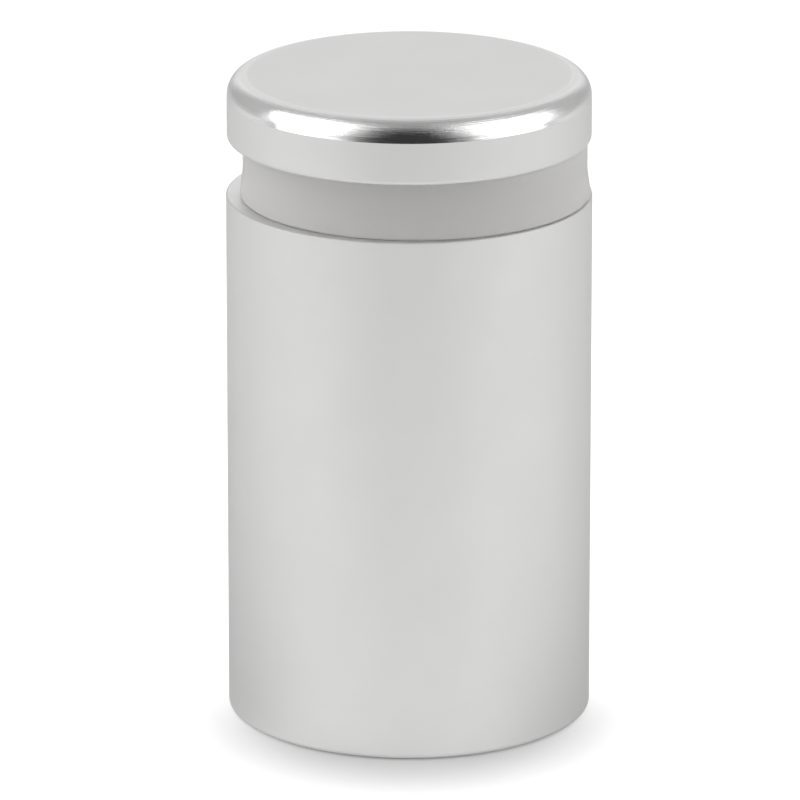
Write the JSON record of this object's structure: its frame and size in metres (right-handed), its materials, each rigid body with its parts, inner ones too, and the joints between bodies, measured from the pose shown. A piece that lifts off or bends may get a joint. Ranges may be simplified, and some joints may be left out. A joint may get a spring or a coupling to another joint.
{
  "type": "glass panel standoff",
  "caption": "Round satin aluminium standoff whose cap screws down on soft frosted washers to clamp a panel.",
  "frame": {"origin": "centre of the barrel's base, on the surface that it stands on", "axes": "+Z along the standoff's axis from the base to the cap; +X to the right as the washers lie shifted"},
  "size_m": [0.025, 0.025, 0.045],
  "materials": {
    "satin_aluminium": "satin clear anodised, finely blasted",
    "cap_aluminium": "satin anodised face and side with a bright turned rim",
    "stud_steel": "plain stainless thread",
    "frosted_washer": "frosted translucent soft plastic"
  },
  "bodies": {
    "barrel": {"barrel": "satin_aluminium", "lower_washer": "frosted_washer"},
    "upper_washer": {"upper_washer": "frosted_washer"},
    "cap": {"cap": "cap_aluminium", "threaded_stud": "stud_steel"}
  },
  "joints": [
    {"name": "cap_lift", "type": "slide", "parent": "barrel", "child": "upper_washer", "axis": [0, 0, 1], "range_m": [0, 0.0175]},
    {"name": "cap_turn", "type": "hinge", "parent": "upper_washer", "child": "cap", "pos_m": [0, 0, 0.0406], "axis": [0, 0, 1], "range_deg": [0, 5040]}
  ],
  "couplings": [
    {"joint": "cap_lift", "follows": "cap_turn", "m_per_rad": 0.00019894}
  ]
}
